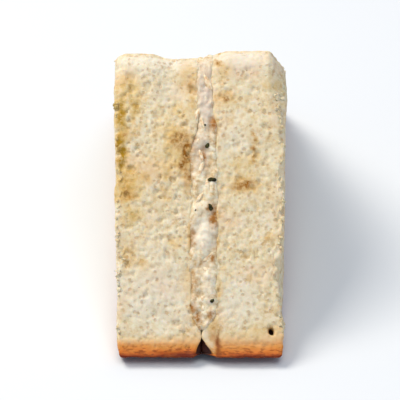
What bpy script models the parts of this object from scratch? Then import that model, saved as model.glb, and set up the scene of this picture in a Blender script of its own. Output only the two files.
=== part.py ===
# A quarter of a chicken spread sandwich. Two thick slices of white bread with the spread
# between them, cut along both diagonals, stand on their crust with the cut point upwards.
# X runs across the slices, Y from the front cut face to the back one, and Z up.

import math
import random

import bmesh
import bpy
from mathutils import Matrix, Vector, noise

MM = 0.001

# The loaf and the quarter cut from it
LOAF_SIDE = 94 * MM
LOAF_CORNER = 8 * MM
POINT_RADIUS = 4 * MM
HALF = LOAF_SIDE / 2
CUT_SLOPE = math.sqrt(2)
LOWER_EDGE = LOAF_CORNER * (1 - 1 / CUT_SLOPE)

# Faces across the sandwich, as (height, x) in millimetres from the middle of its width.
# The slices lean apart a little towards the top. They all but meet at the pinch, under the
# spread, and below it their crusts part at the cuts in a notch that closes further in.
PINCH = 5.2
NOTCH_FROM = 0.2 * MM
NOTCH_DEPTH = 1.2 * MM
LEFT_OUTSIDE = ((0, -16.1), (9, -16.4), (24, -17.0), (42, -17.3), (46, -16.7))
LEFT_INSIDE = (
    (0, -1.3), (2.6, -1.0), (PINCH, 0.35), (9, -1.5), (21, -1.7), (26, -1.5), (31, -1.9), (37, -0.6),
    (46, -0.3),
)
RIGHT_INSIDE = (
    (0, 3.4), (2.6, 3.1), (PINCH, 0.65), (9, 3.3), (21, 3.5), (26, 3.4), (31, 3.2), (37, 2.6), (46, 2.3)
)
RIGHT_OUTSIDE = ((0, 16.2), (6, 16.9), (24, 17.1), (42, 17.3), (46, 16.8))

# A shallow dent low on the right slice's side, near the front
DENT_DEPTH = 1.1 * MM
DENT_PLACE = (-33 * MM, 13 * MM)
DENT_REACH = 12 * MM

# Unevenness of the soft crumb
EDGE = 0.8 * MM
CRUMB_RELIEF = 0.55 * MM
CRUMB_SPACING = 5.5 * MM
SIDE_RELIEF = 0.3 * MM
SLICE_WAVE = 0.5 * MM
SLICE_WAVE_SPACING = 24 * MM
THICKNESS_WAVE = 0.5 * MM
THICKNESS_WAVE_SPACING = 15 * MM
RELIEF_FROM = 3 * MM

# How far the top is pressed down across the sandwich, as (x, drop) in millimetres: the left slice
# sits lower, the knife sank in near the spread, and the outer corners are squashed. The drop
# starts at DROP_FROM in front and lower behind, where BACK is the y by which it is fully so.
TOP_DROP = (
    (-17.6, 2.0), (-15.0, 1.0), (-10.5, 1.0), (-6.0, 2.1), (0.0, 2.0), (6.0, 0.0), (13.5, 0.0), (18.4, 5.8)
)
DROP_FROM = 33 * MM
DROP_FROM_BEHIND = 24 * MM
BACK = 6 * MM

# The spread, which stops short of the crust
CLEARANCE = 0.35 * MM
SPREAD_BASE = 7.2 * MM
SPREAD_BULGE = 0.3 * MM
LUMP_RELIEF = 0.55 * MM
LUMP_SPACING = 4.2 * MM
SHRED_COUNT = 8
SHRED_SIZE = (1.7 * MM, 5.6 * MM, 1.5 * MM)
FLECK_COUNT = 5
FLECK_SIZE = (1.5 * MM, 0.9 * MM, 0.8 * MM)
LOWEST_TOPPING = 12 * MM
HIGHEST_TOPPING = 41 * MM

# Cells along each side of the quarter and across each thickness
SLICE_CELLS = 34
SLICE_LAYERS = 9
SPREAD_CELLS = 24
SPREAD_LAYERS = 4

CRUMB_COLOUR = "d9c6a2"
CRUST_COLOUR = "b9672e"
SPREAD_COLOUR = "e0cfb1"
CRUST_HEIGHT = 1.5 * MM


def clear_scene():
    for obj in list(bpy.data.objects):
        bpy.data.objects.remove(obj, do_unlink=True)


def linear(colour):
    """Linear RGBA of an sRGB hex colour."""
    channels = [int(colour[i : i + 2], 16) / 255 for i in (0, 2, 4)]
    curve = [c / 12.92 if c <= 0.04045 else ((c + 0.055) / 1.055) ** 2.4 for c in channels]
    return (*curve, 1.0)


def make_material(name, colour, roughness):
    material = bpy.data.materials.new(name)
    material.use_nodes = True
    shader = material.node_tree.nodes["Principled BSDF"]
    shader.inputs["Base Color"].default_value = linear(colour)
    shader.inputs["Roughness"].default_value = roughness
    shader.inputs["Metallic"].default_value = 0.0
    return material


def ease(low, high, value):
    """0 below low, 1 above high and a smooth step between."""
    t = min(max((value - low) / (high - low), 0.0), 1.0)
    return t * t * (3 - 2 * t)


def eased(knots, place):
    """The value at a place, in metres, eased from one of the (place, value) knots to the next."""
    at = place / MM
    for (low, low_value), (high, high_value) in zip(knots, knots[1:]):
        if at <= high:
            return (low_value + (high_value - low_value) * ease(low, high, at)) * MM
    return knots[-1][1] * MM


def rim(z):
    """How far the quarter reaches in y at a height: to the cut, or the loaf's round corner below it."""
    if z < LOWER_EDGE:
        return HALF - LOAF_CORNER + math.sqrt(max(LOAF_CORNER**2 - (LOAF_CORNER - z) ** 2, 0.0))
    return HALF - z


def inner_face_at(knots, y, z):
    """The x of a face against the spread, with the notch closed behind the cuts."""
    at_cut = eased(knots, z)
    closed = eased(knots, max(z, PINCH * MM))
    return at_cut + (closed - at_cut) * ease(NOTCH_FROM, NOTCH_DEPTH, rim(z) - abs(y))


def wave(y, z, seed, spacing, height):
    return height * noise.noise(Vector((y / spacing, z / spacing, seed)))


def left_outside(y, z):
    return eased(LEFT_OUTSIDE, z) + wave(y, z, 3.1, CRUMB_SPACING, SIDE_RELIEF)


def left_inside(y, z):
    return inner_face_at(LEFT_INSIDE, y, z) + wave(y, z, 8.2, SLICE_WAVE_SPACING, SLICE_WAVE)


def right_inside(y, z):
    above_pinch = ease(PINCH * MM, 2 * PINCH * MM, z)
    thickness = wave(y, z, 12.4, THICKNESS_WAVE_SPACING, THICKNESS_WAVE) * above_pinch
    return inner_face_at(RIGHT_INSIDE, y, z) + wave(y, z, 8.2, SLICE_WAVE_SPACING, SLICE_WAVE) + thickness


def right_outside(y, z):
    distance = math.hypot(y - DENT_PLACE[0], z - DENT_PLACE[1])
    dent = DENT_DEPTH * (1 - ease(0.0, DENT_REACH, distance))
    return eased(RIGHT_OUTSIDE, z) + wave(y, z, 5.7, CRUMB_SPACING, SIDE_RELIEF) - dent


def spread_left(y, z):
    return left_inside(y, z) + CLEARANCE


def spread_right(y, z):
    return right_inside(y, z) - CLEARANCE


def outside(y, z, base):
    """How far a point lies outside the quarter: base, loaf corners, two cuts and the round point."""
    y = abs(y)
    excess = max(base - z, (y + z - HALF) / CUT_SLOPE)
    corner = HALF - LOAF_CORNER
    if y > corner and z < LOAF_CORNER:
        excess = max(excess, math.hypot(y - corner, z - LOAF_CORNER) - LOAF_CORNER)
    point = HALF - POINT_RADIUS * CUT_SLOPE
    if z - point > y:
        excess = max(excess, math.hypot(y, z - point) - POINT_RADIUS)
    return excess


def reach(centre_z, direction, base):
    """Distance from the centre to the outline in one direction, found by halving."""
    low, high = 0.0, LOAF_SIDE
    for _ in range(30):
        middle = (low + high) / 2
        if outside(direction.x * middle, centre_z + direction.y * middle, base) > 0:
            high = middle
        else:
            low = middle
    return low


def fitted(y, z, base, inset, growth):
    """A point of the sharp triangle moved along its ray from the centroid to fit the round outline."""
    height = HALF - base
    centre_z = base + height / 3
    ray = Vector((y, z - centre_z))
    if ray.length < 1e-9:
        return y, z
    upper = (z - base) / height
    lower = min((1 - upper) / 2 + y / (2 * height), (1 - upper) / 2 - y / (2 * height))
    share = 1 - 3 * min(upper, lower)
    ray.normalize()
    length = share * (reach(centre_z, ray, base) - inset) + share**4 * growth(y, z)
    return ray.x * length, centre_z + ray.y * length


def triangle_prism(base, cells, layers):
    """A unit-thick prism: a lattice of triangles on both broad faces and layers of quads round them."""
    bm = bmesh.new()
    height = HALF - base
    corners = ((0, -height, base), (0, height, base), (0, 0, HALF))
    bm.faces.new([bm.verts.new(corner) for corner in corners])
    bmesh.ops.subdivide_edges(bm, edges=bm.edges[:], cuts=cells - 1, use_grid_fill=True)
    grown = bmesh.ops.extrude_face_region(bm, geom=bm.faces[:])["geom"]
    far = [item for item in grown if isinstance(item, bmesh.types.BMVert)]
    bmesh.ops.translate(bm, verts=far, vec=(1, 0, 0))
    across = [e for e in bm.edges if abs(e.verts[0].co.x - e.verts[1].co.x) > 0.5]
    bmesh.ops.subdivide_edges(bm, edges=across, cuts=layers - 1, use_grid_fill=True)
    bmesh.ops.recalc_face_normals(bm, faces=bm.faces[:])
    return bm


def shape_prism(bm, base, layers, left, right, relief):
    """Fits the prism's outline to the quarter and its broad faces to left and right."""
    for vert in bm.verts:
        layer = round(vert.co.x * layers)
        on_face = layer in (0, layers)
        across = layer / layers

        def growth(y, z):
            return relief(across, y, z)

        y, z = fitted(vert.co.y, vert.co.z, base, EDGE if on_face else 0.0, growth)
        low, high = left(y, z), right(y, z)
        if not on_face:
            step = (layer - 1) / (layers - 2)
            edge = min(EDGE, (high - low) / 4)
            low, high = low + edge, high - edge
            across = step
        vert.co = (low + (high - low) * across, y, z)


def crumb_relief(seed):
    """Bumps and hollows of the cut crumb, none of them on the flat crust below."""

    def relief(across, y, z):
        bump = noise.noise(Vector((across * 2.4 + seed, y / CRUMB_SPACING, z / CRUMB_SPACING)))
        return CRUMB_RELIEF * (bump - 0.4) * ease(0.0, RELIEF_FROM, z)

    return relief


def lump_relief(across, y, z):
    lump = noise.noise(Vector((across * 1.3, y / LUMP_SPACING, z / LUMP_SPACING)))
    return SPREAD_BULGE * ease(0.0, 2 * SPREAD_BASE, z) + LUMP_RELIEF * (lump - 0.3)


def pressed(x, y, z):
    """The height to which a point goes as the top is pressed down, most at the point."""
    lowest = DROP_FROM + (DROP_FROM_BEHIND - DROP_FROM) * ease(0.0, BACK, y)
    return z - eased(TOP_DROP, x) * ease(lowest, HALF, z)


def press_top(bm):
    for vert in bm.verts:
        vert.co.z = pressed(*vert.co)


def add_object(name, bm, *materials):
    mesh = bpy.data.meshes.new(name)
    bm.to_mesh(mesh)
    bm.free()
    for material in materials:
        mesh.materials.append(material)
    obj = bpy.data.objects.new(name, mesh)
    bpy.context.scene.collection.objects.link(obj)
    return obj


def colour_crust(bm):
    """The second material goes on the loaf's outside: the base and the loaf corners at its ends."""
    for face in bm.faces:
        if face.normal.z < -0.3 and face.calc_center_median().z < CRUST_HEIGHT:
            face.material_index = 1


def make_slice(name, left, right, seed, crumb, crust):
    bm = triangle_prism(0.0, SLICE_CELLS, SLICE_LAYERS)
    shape_prism(bm, 0.0, SLICE_LAYERS, left, right, crumb_relief(seed))
    press_top(bm)
    bm.normal_update()
    colour_crust(bm)
    bmesh.ops.triangulate(bm, faces=bm.faces[:])
    return add_object(name, bm, crumb, crust)


def make_spread_core(material):
    bm = triangle_prism(SPREAD_BASE, SPREAD_CELLS, SPREAD_LAYERS)
    shape_prism(bm, SPREAD_BASE, SPREAD_LAYERS, spread_left, spread_right, lump_relief)
    press_top(bm)
    bmesh.ops.triangulate(bm, faces=bm.faces[:])
    return add_object("chicken_spread", bm, material)


def cut_frame(side, z, shift):
    """Axes of a cut face: X across, Y up along the cut and Z out of it. side is -1 in front, 1 behind."""
    slope = math.pi / 4
    turn = Matrix.Rotation(slope, 4, "X")
    if side > 0:
        turn = Matrix.Rotation(math.pi, 4, "Z") @ turn
    y = side * (HALF - z)
    x = (left_inside(y, z) + right_inside(y, z)) / 2 + shift
    return Matrix.Translation((x, y, pressed(x, y, z))) @ turn


def topping_places(count, draw):
    """Evenly spaced heights up both cut faces, each moved a little by the draw."""
    step = (HIGHEST_TOPPING - LOWEST_TOPPING) / (count - 1)
    for side in (-1, 1):
        for i in range(count):
            yield side, LOWEST_TOPPING + step * (i + draw.uniform(-0.25, 0.25))


def make_toppings(draw, material):
    """Rounded shreds of chicken and flat flecks of herb, half sunk in the cut spread."""
    toppings = []
    for side, z in topping_places(SHRED_COUNT, draw):
        bm = bmesh.new()
        bmesh.ops.create_icosphere(bm, subdivisions=2, radius=0.5)
        turn = Matrix.Rotation(draw.uniform(-0.35, 0.35), 4, "Z")
        place = cut_frame(side, z, draw.uniform(-0.4, 0.4) * MM)
        bmesh.ops.transform(bm, matrix=place @ turn @ Matrix.Diagonal((*SHRED_SIZE, 1)), verts=bm.verts[:])
        toppings.append(add_object("shred", bm, material))
    for side, z in topping_places(FLECK_COUNT, draw):
        bm = bmesh.new()
        bmesh.ops.create_cube(bm, size=1.0)
        turn = Matrix.Rotation(draw.uniform(0, math.pi), 4, "Z")
        place = cut_frame(side, z, draw.uniform(-0.5, 0.5) * MM)
        bmesh.ops.transform(bm, matrix=place @ turn @ Matrix.Diagonal((*FLECK_SIZE, 1)), verts=bm.verts[:])
        toppings.append(add_object("fleck", bm, material))
    return toppings


def fuse(core, pieces):
    """One union of the core with all the pieces, applied, after which the pieces go."""
    group = bpy.data.collections.new("toppings")
    bpy.context.scene.collection.children.link(group)
    for piece in pieces:
        group.objects.link(piece)
    union = core.modifiers.new("toppings", "BOOLEAN")
    union.operation = "UNION"
    union.operand_type = "COLLECTION"
    union.collection = group
    union.solver = "EXACT"
    bpy.context.view_layer.update()
    evaluated = core.evaluated_get(bpy.context.evaluated_depsgraph_get())
    fused = bpy.data.meshes.new_from_object(evaluated)
    core.modifiers.clear()
    core.data = fused
    for piece in pieces:
        bpy.data.objects.remove(piece, do_unlink=True)
    bpy.data.collections.remove(group)


def centre_on_base(objects):
    """Moves the meshes so that the middle of the base of their box is the origin."""
    points = [vert.co for obj in objects for vert in obj.data.vertices]
    low = [min(p[i] for p in points) for i in range(3)]
    high = [max(p[i] for p in points) for i in range(3)]
    shift = Vector(((low[0] + high[0]) / 2, (low[1] + high[1]) / 2, low[2]))
    for obj in objects:
        obj.data.transform(Matrix.Translation(-shift))


def main():
    clear_scene()
    draw = random.Random(11)
    crumb = make_material("white_bread_crumb", CRUMB_COLOUR, 0.9)
    crust = make_material("baked_crust", CRUST_COLOUR, 0.65)
    filling = make_material("chicken_spread", SPREAD_COLOUR, 0.45)
    left = make_slice("bread_slice_left", left_outside, left_inside, 1.7, crumb, crust)
    right = make_slice("bread_slice_right", right_inside, right_outside, 6.4, crumb, crust)
    spread = make_spread_core(filling)
    fuse(spread, make_toppings(draw, filling))
    centre_on_base([left, right, spread])


main()
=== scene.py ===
import itertools
import math

import bpy
import numpy as np
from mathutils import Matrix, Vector


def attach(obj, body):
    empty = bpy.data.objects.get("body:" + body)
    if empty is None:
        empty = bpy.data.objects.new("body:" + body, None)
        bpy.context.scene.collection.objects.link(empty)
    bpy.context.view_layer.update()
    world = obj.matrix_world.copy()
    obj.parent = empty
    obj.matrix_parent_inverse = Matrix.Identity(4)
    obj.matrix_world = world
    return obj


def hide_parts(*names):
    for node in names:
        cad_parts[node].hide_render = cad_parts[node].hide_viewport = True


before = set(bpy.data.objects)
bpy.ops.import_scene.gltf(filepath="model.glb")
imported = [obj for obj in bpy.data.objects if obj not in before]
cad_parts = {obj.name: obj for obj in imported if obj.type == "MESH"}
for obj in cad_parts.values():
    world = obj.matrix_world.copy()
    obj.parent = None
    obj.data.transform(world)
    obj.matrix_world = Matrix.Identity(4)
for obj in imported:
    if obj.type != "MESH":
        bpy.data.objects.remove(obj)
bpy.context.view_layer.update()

MM = 0.001
ROOT = "root"
ROOT_HALF = math.sqrt(0.5)

# The quarter's outline, as its solids have it, in millimetres, and the radii of its long edges
HALF_SIDE = 47.0
LOAF_CORNER = 8.0
POINT_RADIUS = 4.0
LOWER_EDGE = LOAF_CORNER * (1 - ROOT_HALF)
CUT_LENGTH = 61.0
OUTER_EDGE, INNER_EDGE, SPREAD_EDGE = 0.5, 0.25, 0.2

# Faces across the sandwich as (height, x): the outer sides and the faces against the spread.
# Below the pinch the faces against the spread part at the cuts, in a notch that closes further in,
# to 0.1 mm, because the crusts touch there.
PINCH = 5.2
NOTCH_FROM, NOTCH_DEPTH = 0.2, 1.2
LEFT_OUTSIDE = ((0, -16.1), (9, -16.4), (24, -17.0), (42, -17.3), (46, -16.7))
LEFT_INSIDE = (
    (0, -1.3), (2.6, -1.0), (PINCH, 0.45), (9, -1.5), (21, -1.7), (26, -1.5), (31, -1.9), (37, -0.6),
    (46, -0.3),
)
RIGHT_INSIDE = (
    (0, 3.4), (2.6, 3.1), (PINCH, 0.55), (9, 3.3), (21, 3.5), (26, 3.4), (31, 3.2), (37, 2.6), (46, 2.3)
)
RIGHT_OUTSIDE = ((0, 16.2), (6, 16.9), (24, 17.1), (42, 17.3), (46, 16.8))

# The dent low on the right slice's outer side: its depth, its (y, z) and how far it reaches
DENT_DEPTH, DENT_PLACE, DENT_REACH = 1.1, (-33.0, 13.0), 12.0

# Height and length of waves: of the outer sides, of both inner faces together, of each inner face
# and of the right one alone. Those of the inner faces set in between two heights.
OUTER_WAVE, OUTER_WAVE_LENGTH = 0.3, 7.0
SHARED_WAVE, SHARED_WAVE_LENGTH = 0.3, 24.0
INNER_WAVE, INNER_WAVE_LENGTH = 0.35, 3.4
RIGHT_WAVE, RIGHT_WAVE_LENGTH = 0.25, 15.0
WAVES_SET_IN = (5, 10)

# The height at which the spread starts, how far its sides reach into the bread and how much that
# varies over a length
SPREAD_BASE = 6.6
SPREAD_SUNK, SPREAD_SUNK_VARIES, SPREAD_SUNK_LENGTH = 0.3, 0.2, 2.2

# How far the top is pressed down across the sandwich, as (x, drop). The drop starts at DROP_FROM
# in front and lower behind, where BACK is the y by which it is fully so.
TOP_DROP = (
    (-17.6, 2.0), (-15.0, 1.0), (-10.5, 1.0), (-6.0, 2.1), (0.0, 2.0), (6.0, 0.0), (13.5, 0.0), (18.4, 5.8)
)
DROP_FROM, DROP_FROM_BEHIND, BACK = 33.0, 24.0, 6.0

# Cells along a side and across the thickness of each surface
SLICE_CELLS, SLICE_LAYERS = 224, 60
SPREAD_CELLS, SPREAD_LAYERS = 210, 26

# Bubbles of the crumb, coarsest first: cell, smallest and largest radius, share of cells that hold
# one, and how deep the deepest go
CRUMB_BUBBLES = ((4.2, 0.7, 1.3, 0.25, 0.55), (1.7, 0.35, 0.85, 0.8, 0.5), (0.9, 0.27, 0.5, 1.0, 0.4))
BUBBLE_BEND = 0.38

# Patches on the front cut faces: x, distance up the cut, half width, half height, strength.
# Toasted patches are orange brown, yellowed ones olive, and calm ones pale with small pores. The
# lowest calm ones are where the crust is torn off beside the notch. The olive ones along the left
# edge, x from -13 to -16, are warm painted shade there, and the calm ones 63 mm up, along the top,
# are paler as a painted highlight.
LEFT_TOASTED = (
    (-2.7, 41.4, 1.1, 3.6, 0.95), (-3.4, 39.4, 1.3, 1.6, 0.9), (-4.0, 44.2, 2.4, 2.3, 0.8),
    (-2.4, 36.6, 0.9, 2.2, 0.8), (-2.4, 56.9, 1.5, 3.4, 0.45), (-2.0, 55.4, 0.9, 1.6, 0.65),
    (-1.6, 51.5, 0.7, 2.2, 0.5), (-14.6, 35.2, 2.4, 2.8, 0.4), (-15.0, 32.8, 2.4, 1.3, 0.75),
    (-14.6, 20.6, 1.5, 2.0, 0.5), (-11.4, 19.0, 1.1, 1.3, 0.45), (-1.6, 24.5, 0.7, 2.8, 0.7),
    (-1.6, 14.7, 1.3, 3.4, 0.45), (-1.2, 10.0, 0.7, 1.1, 1.0), (-0.4, 7.8, 0.8, 1.5, 0.9),
    (-1.9, 5.5, 0.5, 0.5, 0.65), (-15.4, 45.2, 0.8, 0.8, 0.9), (-13.6, 45.4, 1.0, 0.7, 0.5),
    (-5.1, 23.4, 1.2, 1.0, 0.4), (-7.2, 33.2, 0.9, 1.4, 0.45), (-10.9, 36.3, 1.1, 1.3, 0.5),
    (-6.6, 37.0, 1.1, 1.0, 0.5),
)
# The first six, along the left edge, are warm painted shade; the last three are olive stains
LEFT_YELLOWED_AND_SHADED = (
    (-16.0, 49.7, 1.2, 4.2, 0.9), (-16.0, 42.0, 1.1, 5.0, 1.0), (-13.1, 51.1, 0.9, 2.2, 0.75),
    (-14.8, 54.9, 2.4, 2.4, 0.5), (-15.2, 35.6, 2.8, 3.8, 0.6), (-14.0, 28.8, 1.8, 1.7, 0.6),
    (-6.0, 46.5, 2.0, 2.2, 0.35), (-6.6, 40.0, 3.2, 2.6, 0.35), (-4.2, 50.5, 1.6, 1.8, 0.35),
)
# The calm patch 63 mm up, along the top, is pale as a painted highlight
LEFT_CALM_AND_HIGHLIT = ((-8.5, 12.5, 6.5, 7.0, 0.4), (-9.0, 63.0, 9.5, 4.2, 0.7), (-7.0, 54.0, 3.0, 2.4, 0.3))
DOTTED_LINE = tuple((10.85 - 0.15 * (-1) ** i, 45.2 - 1.38 * i, 0.6, 0.6, 0.8) for i in range(5))
RIGHT_TOASTED = (
    (5.3, 52.8, 2.0, 1.3, 0.6), (5.3, 52.6, 0.9, 0.8, 0.9), (2.7, 47.4, 0.9, 1.6, 1.0),
    (8.9, 35.0, 2.4, 1.4, 0.85), (9.2, 35.3, 1.1, 0.9, 1.0), (0.8, 40.8, 0.5, 1.7, 1.0),
    (2.3, 30.2, 0.7, 1.2, 1.0), (2.8, 28.2, 0.8, 1.8, 1.0), (3.6, 23.4, 0.5, 1.7, 0.6),
    (2.6, 20.0, 0.5, 0.8, 1.0), (4.0, 13.4, 0.4, 2.2, 0.6), (2.6, 8.7, 0.7, 1.0, 1.0),
    (2.7, 6.0, 1.0, 2.5, 0.6), (3.9, 2.9, 0.4, 2.6, 1.0), (14.2, 24.0, 1.0, 1.1, 0.6),
    (10.2, 15.9, 0.6, 0.6, 0.6), (3.6, 60.0, 0.6, 0.8, 0.9), *DOTTED_LINE,
)
RIGHT_YELLOWED = (
    (14.8, 55.4, 2.4, 1.6, 0.25), (4.8, 58.4, 1.4, 1.4, 0.4), (12.6, 5.6, 3.6, 1.6, 0.3),
    (9.0, 39.5, 2.4, 2.0, 0.35),
)
# The calm patch 63 mm up, along the top, is pale as a painted highlight
RIGHT_CALM_AND_HIGHLIT = (
    (8.0, 11.5, 3.5, 4.5, 0.4), (8.0, 63.0, 6.5, 4.2, 0.65), (7.5, 43.5, 3.0, 3.0, 0.3),
    (1.5, 3.9, 0.7, 0.9, 0.6), (2.2, 2.5, 0.7, 0.9, 0.6), (2.9, 1.2, 0.6, 0.8, 0.6),
)

# Pale and pinkish grey patches of the spread, listed the same way
SPREAD_PALE = ((1.0, 25.2, 2.0, 3.9, 1.0), (1.8, 15.0, 1.4, 4.0, 0.6))
SPREAD_PINK = ((1.1, 53.5, 1.6, 7.0, 1.0), (0.3, 42.5, 1.4, 4.0, 0.7))

# How far noise shifts a patch's outline and over what length, and how far off its cut face a patch
# starts to fade and is gone
PATCH_SHIFT, PATCH_SHIFT_LENGTH = 0.5, 1.8
PATCH_FADES = (0.8, 2.6)

# One deep hole in the right slice: x, distance up the cut, radius
DEEP_HOLE = (14.4, 5.3, 0.8)
DEEP_HOLE_DEPTH = 2.4

# Painted shade: depth that the notch's crusts are given as the pits have, so that the bread's material
# darkens them
NOTCH_PAINTED_SHADE = 2.5

# Bits of herb in the spread's front: x, distance up the cut, length, width, turn in degrees
HERBS = (
    (2.2, 36.1, 1.5, 0.75, 8), (2.9, 36.0, 1.2, 0.75, -16), (1.5, 43.0, 1.1, 0.8, 60),
    (2.1, 30.4, 1.5, 1.1, 120), (2.6, 11.4, 1.0, 0.8, 30), (-0.8, 29.8, 0.7, 0.5, 80),
    (1.0, 47.4, 0.6, 0.35, 10),
)

# How far the herbs stand out of the cut, and the least and greatest thickness
HERB_RAISED = 0.4
HERB_THICKNESS = (0.35, 0.6)

# Shreds of meat: how many there are on a cut face, between which distances up the cut and how far
# off an even row they lie, where they lie across, how far their middles are out of the cut, how far
# they turn from upright in degrees, and the smallest and largest
SHREDS_PER_FACE = 17
SHRED_REACH, SHRED_OFF_ROW = (9, 56), 1.2
SHRED_ACROSS, SHRED_RAISED = (-0.5, 2.4), -0.1
SHRED_TURN = 50
SHRED_SIZES = ((1.8, 0.7, 0.8), (4.4, 1.3, 1.2))

# Loose crumbs: how many cling to a slice, the smallest and largest, and where they cling: between
# two heights, further out than an x, and where the normal's share to that side lies between two
# values. They are coloured as crumb is at this depth under the loaf's outside and in this deep a pit.
EDGE_CRUMBS_PER_SLICE = 110
EDGE_CRUMB_SIZES = ((0.5, 0.4, 0.25), (1.8, 1.3, 0.9))
EDGE_CRUMB_HEIGHTS = (6.0, 41.0)
EDGE_CRUMB_X = 15.4
EDGE_CRUMB_FACING = (0.35, 0.9)
EDGE_CRUMB_DEPTH, EDGE_CRUMB_PIT = 9.0, 0.2

# Rings, points round each ring and unevenness of each kind of bit
SHRED_BALL, HERB_BALL, CRUMB_BALL = (14, 12, 0.35), (6, 9, 0.4), (5, 7, 0.7)

# How wide and how deep the long outer edges are torn, and over what height this sets in and ends
TEAR_WIDTH, TEAR_DEPTH, TEAR_TAPER = 1.7, 1.0, 3

# Depths under the loaf's outside: where browning ends, between which crumb takes over from crust,
# between which its pits deepen, and between which a crisper crust's browning is cut short
BROWNING_DEPTH = 6.0
CRUMB_TAKES_OVER = (0.4, 2.2)
PITS_DEEPEN = (0.7, 3.0)
CRUST_FADES = (2.2, 5.4)

# Height and length in millimetres of the crumb's swells, ripples and fine roughness and of the
# crust's wrinkles, and how far the crumb rises over the crust
SWELL, SWELL_LENGTH = 0.26, 7.0
RIPPLE, RIPPLE_LENGTH = 0.1, 2.6
FINE_ROUGHNESS, FINE_LENGTH = 0.07, 0.9
WRINKLE, WRINKLE_LENGTH = 0.14, 1.8
CRUMB_RISE = 0.12

# Shares by which calm places are shallower in pits and in fine roughness, and a hidden face in all
CALM_PITS, CALM_ROUGHNESS, HIDDEN_CALM = 0.8, 0.5, 0.9

# What the slices rest on is flat: it lies under this height, where the normal's z is below this
RESTS_UNDER, FACES_DOWN = 0.6, -0.9

# Shares of the normal towards the spread between which a face comes to count as hidden
HIDDEN_FACING = (0.7, 0.95)

# Height and length in millimetres of the spread's lumps, small lumps and roughness, and the rise of
# its pale places
LUMP, LUMP_LENGTH = 0.6, 2.6
SMALL_LUMP, SMALL_LUMP_LENGTH = 0.27, 1.1
SPREAD_ROUGHNESS, SPREAD_LENGTH = 0.22, 2.2
PALE_RISE = 0.35

# The spread at the cuts: the depth of its groove beside the bread and how much that varies over a
# length, the share of the relief that is left there, and how far the whole rim lies back
GROOVE, GROOVE_VARIES, GROOVE_LENGTH = 0.12, 0.5, 3.4
RELIEF_LEFT = 0.6
RIM_BACK = 0.2

# For each slice the seed of its noise, how deep its crumb's pits and swells are against the usual,
# and by how many millimetres its browning is cut short
LEFT_SEED, LEFT_OPENNESS, LEFT_CRISPNESS = 1000, 0.85, 0.7
RIGHT_SEED, RIGHT_OPENNESS, RIGHT_CRISPNESS = 2000, 0.65, 0.0


def hex_to_linear(colour):
    """Linear RGBA of an sRGB hex colour: each channel's share of 255 through the sRGB curve."""
    shares = np.array([int(colour[i : i + 2], 16) for i in (1, 3, 5)]) / 255
    curve = np.where(shares <= 0.04045, shares / 12.92, ((shares + 0.055) / 1.055) ** 2.4)
    return (*curve.tolist(), 1.0)


def ease(low, high, value):
    """0 below low, 1 above high, and 3t^2 - 2t^3 of the share t between them."""
    t = np.clip((value - low) / (high - low), 0.0, 1.0)
    return t * t * (3 - 2 * t)


def drawn(cells, seed):
    """A number from 0 to 1 for each lattice cell: its coordinates times odd numbers, mixed by shifts."""
    whole = cells.astype(np.int64).astype(np.uint32)
    mixed = whole[:, 0] * np.uint32(374761393) + whole[:, 1] * np.uint32(668265263)
    mixed = mixed + whole[:, 2] * np.uint32(2246822519) + np.uint32((seed * 3266489917) % 2**32)
    mixed = (mixed ^ (mixed >> np.uint32(15))) * np.uint32(2654435761)
    mixed = (mixed ^ (mixed >> np.uint32(13))) * np.uint32(1274126177)
    return (mixed ^ (mixed >> np.uint32(16))).astype(np.float64) / 2**32


def drawn_point(cells, seed):
    """Three numbers from 0 to 1 for each lattice cell."""
    return np.stack([drawn(cells, seed + k) for k in (101, 202, 303)], axis=1)


def noise(points, spacing, seed):
    """Gradient noise, about -1 to 1: at each corner of a point's cell a drawn slope times the way to
    the corner, blended across the cell by 6t^5 - 15t^4 + 10t^3."""
    scaled = points / spacing
    home = np.floor(scaled)
    t = scaled - home
    blend = t**3 * (t * (6 * t - 15) + 10)
    total = np.zeros(len(points))
    for corner in itertools.product((0, 1), repeat=3):
        corner = np.array(corner)
        slope = drawn_point(home + corner, seed) * 2 - 1
        weight = np.where(corner == 1, blend, 1 - blend).prod(axis=1)
        total += weight * (slope * (t - corner)).sum(axis=1)
    return total * 1.6


def rough(points, spacing, octaves, seed):
    """Noise at a spacing plus half as much at half of it, and so on."""
    return sum(noise(points, spacing / 2**k, seed + 7 * k) / 2**k for k in range(octaves))


def pits(points, normals, bubbles, seed):
    """Depth of the hollows where the surface cuts through round bubbles. Each cell of a lattice may
    hold one. Inside a bubble of radius r, with q the way from its centre to the point and n the
    normal, its far wall lies q.n + sqrt((q.n)^2 + r^2 - q.q) inwards."""
    cell, smallest, largest, share, deepest = bubbles
    home = np.floor(points / cell)
    depth = np.zeros(len(points))
    for step in itertools.product((-1, 0, 1), repeat=3):
        cells = home + np.array(step)
        centre = (cells + 0.1 + 0.8 * drawn_point(cells, seed)) * cell
        radius = smallest + (largest - smallest) * drawn(cells, seed + 11) ** 2
        radius = radius * (drawn(cells, seed + 12) < share)
        way = points - centre
        along = (way * normals).sum(axis=1)
        inside = radius**2 - (way * way).sum(axis=1)
        far = along + np.sqrt(np.maximum(along**2 + inside, 0.0))
        depth = np.maximum(depth, np.where(inside > 0, far, 0.0))
    return deepest * (1 - np.exp(-depth / deepest))


def domes(points, spacing, seed):
    """1 at the middle of the nearest drawn lump, falling to 0 half a spacing and more away."""
    home = np.floor(points / spacing)
    nearest = np.full(len(points), 9.0)
    for step in itertools.product((-1, 0, 1), repeat=3):
        cells = home + np.array(step)
        centre = (cells + drawn_point(cells, seed)) * spacing
        nearest = np.minimum(nearest, np.linalg.norm(points - centre, axis=1) / spacing)
    return np.clip(1 - nearest**2 * 1.6, 0.0, 1.0)


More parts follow.
